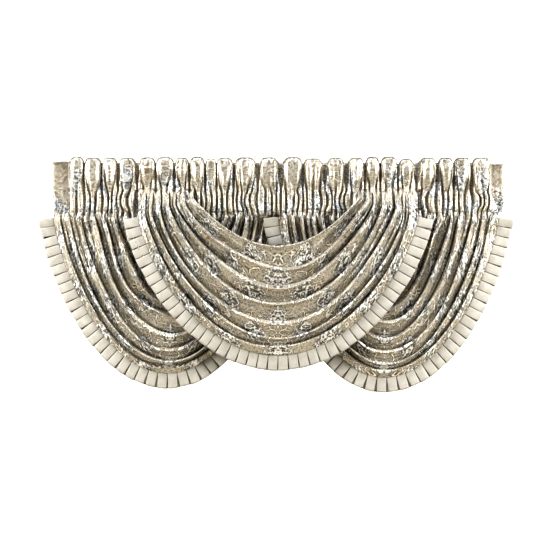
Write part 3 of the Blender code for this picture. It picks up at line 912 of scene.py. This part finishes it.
def heading_points():
    """The heading's points: a row for each step from the yoke's foot over the rod and down the back."""
    columns = heading_columns()
    puff_x, puff_forward, crease, gather_x, gather_forward, lift, tab, edge = columns.T[:, None, :]
    front_rows = smooth_path([tuple(row) for row in FRONT_ROWS], FRONT_STEPS)
    back_rows = smooth_path([tuple(row) for row in BACK_ROWS], BACK_STEPS)
    rows = np.vstack([front_rows, back_rows])
    height, depth, dip = (rows[:, [i]] for i in (0, 1, 3))
    front = (np.arange(len(rows)) < len(front_rows))[:, None]
    beside_arms = ease((np.abs(np.abs(gather_x) - ARM_MIDDLE) - ARM_HALF) / 0.02)
    shift = SHIFT * uneven_line(gather_x, 20.0, 85) + FINE_SHIFT * uneven_line(gather_x, 55.0, 86)
    at_arms = -ARM_SHIFT - 0.6 * np.abs(shift)
    shift = mix(at_arms, shift + SHIFT * (1.0 - edge), beside_arms) - EDGE_SHIFT * edge
    window = ease((-0.030 - height) / 0.03) * ease((height - YOKE_FOOT) / 0.05) * front
    wanted = height + shift * window

    def shifted(i):
        """One measure of the rows, read in front where the shift asks for it."""
        known = rows[:, i].clip(0, 1.2)
        in_front = np.interp(wanted, front_rows[:, 0], known[:len(front_rows)])
        return np.where(front, in_front, known[:, None])

    bulge, gather, stand = shifted(2), shifted(4).clip(0, 1), shifted(5)
    place = mix(puff_x, gather_x, gather)
    drift = DRIFT * uneven_line(gather_x, 9.0, 83) * ease((STITCH_LINE - height) / 0.03)
    place = place + drift * ease((height - YOKE_FOOT) / 0.03)
    closing = ease((height - STITCH_LINE - 0.004) / 0.008) * front * ease((-0.002 - height) / 0.004)
    side = np.where(tab < 0, edges_of_puffs[0][0] - TAB_FOLD, edges_of_puffs[-1][-1] + TAB_FOLD)
    place = np.where(tab == 0, place, mix(place, side + (place - side) * TAB_SQUEEZE, closing))
    kept = mix(1.0, beside_arms, ease((-0.120 - height) / 0.008))
    wrinkle = WRINKLE * uneven(place * 30.0, height * 8.0, 81)
    wrinkle = wrinkle + FINE_WRINKLE * uneven(place * 62.0, height * 20.0, 82)
    y = depth - bulge * BULGE * mix(puff_forward, 1.0, 0.15 * gather)
    reach_up = (0.75 + 0.55 * uneven_line(gather_x, 16.0, 84)).clip(0.15, 1.5)
    grooves = np.where(front, mix(0.85 * reach_up, 1.0, gather), 0.35)
    y = y - stand * GATHER_DEPTH * gather_forward * kept * grooves
    y = y - wrinkle * np.where(front, mix(0.25, 1.0, kept), 0.3) * ease((height - YOKE_FOOT) / 0.01)
    foot = (foot_height(gather_x) - YOKE_FOOT) * ease((-0.196 - height) / 0.007) * front
    top = height + foot + dip * (lift - CREASE_DIP * crease)
    return np.stack(np.broadcast_arrays(place, y, top), axis=-1)


points = heading_points()
middle_row = points.shape[0] // 6
across = run_lengths(points, 1)[middle_row][None, :]
down = run_lengths(points, 0)[:, points.shape[1] // 2][:, None]
flat = np.stack(np.broadcast_arrays(across + CUT_FROM, down), axis=-1)
heading = cloth_sheet("gathered_heading", points, flat, [heading_face, damask_reverse])
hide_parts("heading")
print("heading runs from", round(float(points[..., 0].min()), 3), "to", round(float(points[..., 0].max()), 3))

# %% [markdown]
# The maker cuts each cloth flat, and the sheet on screen must not hold more cloth than that.
# The area of each grid gives the flat size, with the real cut's proportions: a panel is wider at
# its hem than at its rim, and a band is a strip about two and a half times its finished length.

# %% Flat sizes of the cloths
PANEL_CUT = 1.45
SHAPED_SHARE = 0.80  # what the shaped cut keeps of its rectangle
HEADING_CUT = 0.36


def grid_area(piece):
    """The area of a piece's sheet before its thickness is added."""
    return sum(face.area for face in piece.data.polygons)


for name, (panel, _) in panels.items():
    area = grid_area(panel)
    flat = (PANEL_CUT, area / PANEL_CUT / SHAPED_SHARE)
    print(name, "panel is cut from", round(area, 3), "square metres")
for name, band in bands.items():
    flat = (grid_area(band) / (BAND + BAND_LAP), BAND + BAND_LAP)
    print(name, "band is cut from a strip", round(flat[0], 2), "m long")
flat = (grid_area(heading) / HEADING_CUT, HEADING_CUT)
print("heading is cut from a strip", round(flat[0], 2), "m long")

# %% [markdown]
# The picture was taken straight from the front in a studio, against white. Two soft lights high
# at the sides and a long one overhead, all slightly cool, pick out the upper edge of each fold. Two
# small ones, level with the heading, rake across the gathers and the puffs from the sides, so that
# their flanks stay dark. A faint one fills in from the front, and one lights the back. The world
# is pure white for the camera but gives little light. The floor is plain and pale, and far enough
# down to stay out of the front view.

# %% Floor, lights and camera
METRES_PER_PIXEL = 0.0037
PICTURE_PIXELS = 550
TOP_PIXEL = (278, 157)
DISTANCE = 6.0
SENSOR = 36.0  # millimetres, as on a full-frame camera
FLOOR = -2.15
FLOOR_SIZE = 7.0
FLOOR_PAINT = "#cfc8b9"

bpy.ops.mesh.primitive_plane_add(size=FLOOR_SIZE, location=(0.0, 0.0, FLOOR))
floor = bpy.context.object
floor.name = "studio_floor"
floor_look, _, floor_shader = new_material("pale_floor_paint")
floor_shader.inputs["Base Color"].default_value = linear(FLOOR_PAINT)
floor_shader.inputs["Roughness"].default_value = 0.9
floor.data.materials.append(floor_look)


def area_light(name, place, aim, size, watts, colour="#ffffff"):
    """A rectangular soft light at a place, facing a point."""
    data = bpy.data.lights.new(name, "AREA")
    data.shape = "RECTANGLE"
    data.size, data.size_y = size
    data.energy = watts
    data.color = linear(colour)[:3]
    lamp = bpy.data.objects.new(name, data)
    lamp.location = place
    lamp.rotation_euler = (Vector(aim) - Vector(place)).to_track_quat("-Z", "Y").to_euler()
    bpy.context.scene.collection.objects.link(lamp)
    return lamp


DAYLIGHT = "#f4f7ff"
HIGH_SIZE = (1.2, 1.6)
LOW_SIZE = (0.5, 0.9)
aim = (0.0, 0.0, -0.45)
area_light("left_softbox", (-3.25, -2.5, 2.9), aim, HIGH_SIZE, 96.0, DAYLIGHT)
area_light("low_left_softbox", (-2.9, -1.25, 0.0), aim, LOW_SIZE, 67.0)
area_light("right_softbox", (3.25, -2.5, 2.9), aim, HIGH_SIZE, 100.0, DAYLIGHT)
area_light("low_right_softbox", (2.9, -1.25, 0.0), aim, LOW_SIZE, 70.0)
area_light("overhead_softbox", (0.0, -1.6, 3.5), aim, (3.4, 0.8), 69.0, DAYLIGHT)
area_light("front_softbox", (0.0, -4.8, 0.2), aim, (1.6, 0.9), 7.0)
area_light("back_softbox", (0.0, 3.4, -1.2), aim, (3.0, 1.4), 110.0)

WHITE = (1.0, 1.0, 1.0, 1.0)
WORLD_LIGHT = 0.03
world = bpy.data.worlds.new("white_studio")
bpy.context.scene.world = world
world.use_nodes = True
world_tree = world.node_tree
sky = world_tree.nodes["Background"]
sky.inputs["Color"].default_value = WHITE
sky.inputs["Strength"].default_value = WORLD_LIGHT
seen = add_node(world_tree, "Background", {"Color": WHITE, "Strength": 1.0})
to_camera = add_node(world_tree, "LightPath", output="Is Camera Ray")
backdrop = add_node(world_tree, "MixShader", {0: to_camera, 1: sky.outputs[0], 2: seen})
world_tree.links.new(backdrop, world_tree.nodes["World Output"].inputs["Surface"])

camera_data = bpy.data.cameras.new("front_camera")
camera_data.sensor_width = SENSOR
camera_data.lens = SENSOR * DISTANCE / (PICTURE_PIXELS * METRES_PER_PIXEL)
camera = bpy.data.objects.new("front_camera", camera_data)
centre = PICTURE_PIXELS / 2
camera.location = (
    (centre - TOP_PIXEL[0]) * METRES_PER_PIXEL, -DISTANCE, (TOP_PIXEL[1] - centre) * METRES_PER_PIXEL
)
camera.rotation_euler = (math.pi / 2, 0.0, 0.0)
bpy.context.scene.collection.objects.link(camera)
bpy.context.scene.camera = camera
bpy.context.scene.view_settings.view_transform = "Standard"
bpy.context.scene.view_settings.look = "Very High Contrast"
print("lens", round(camera_data.lens, 1), "mm")
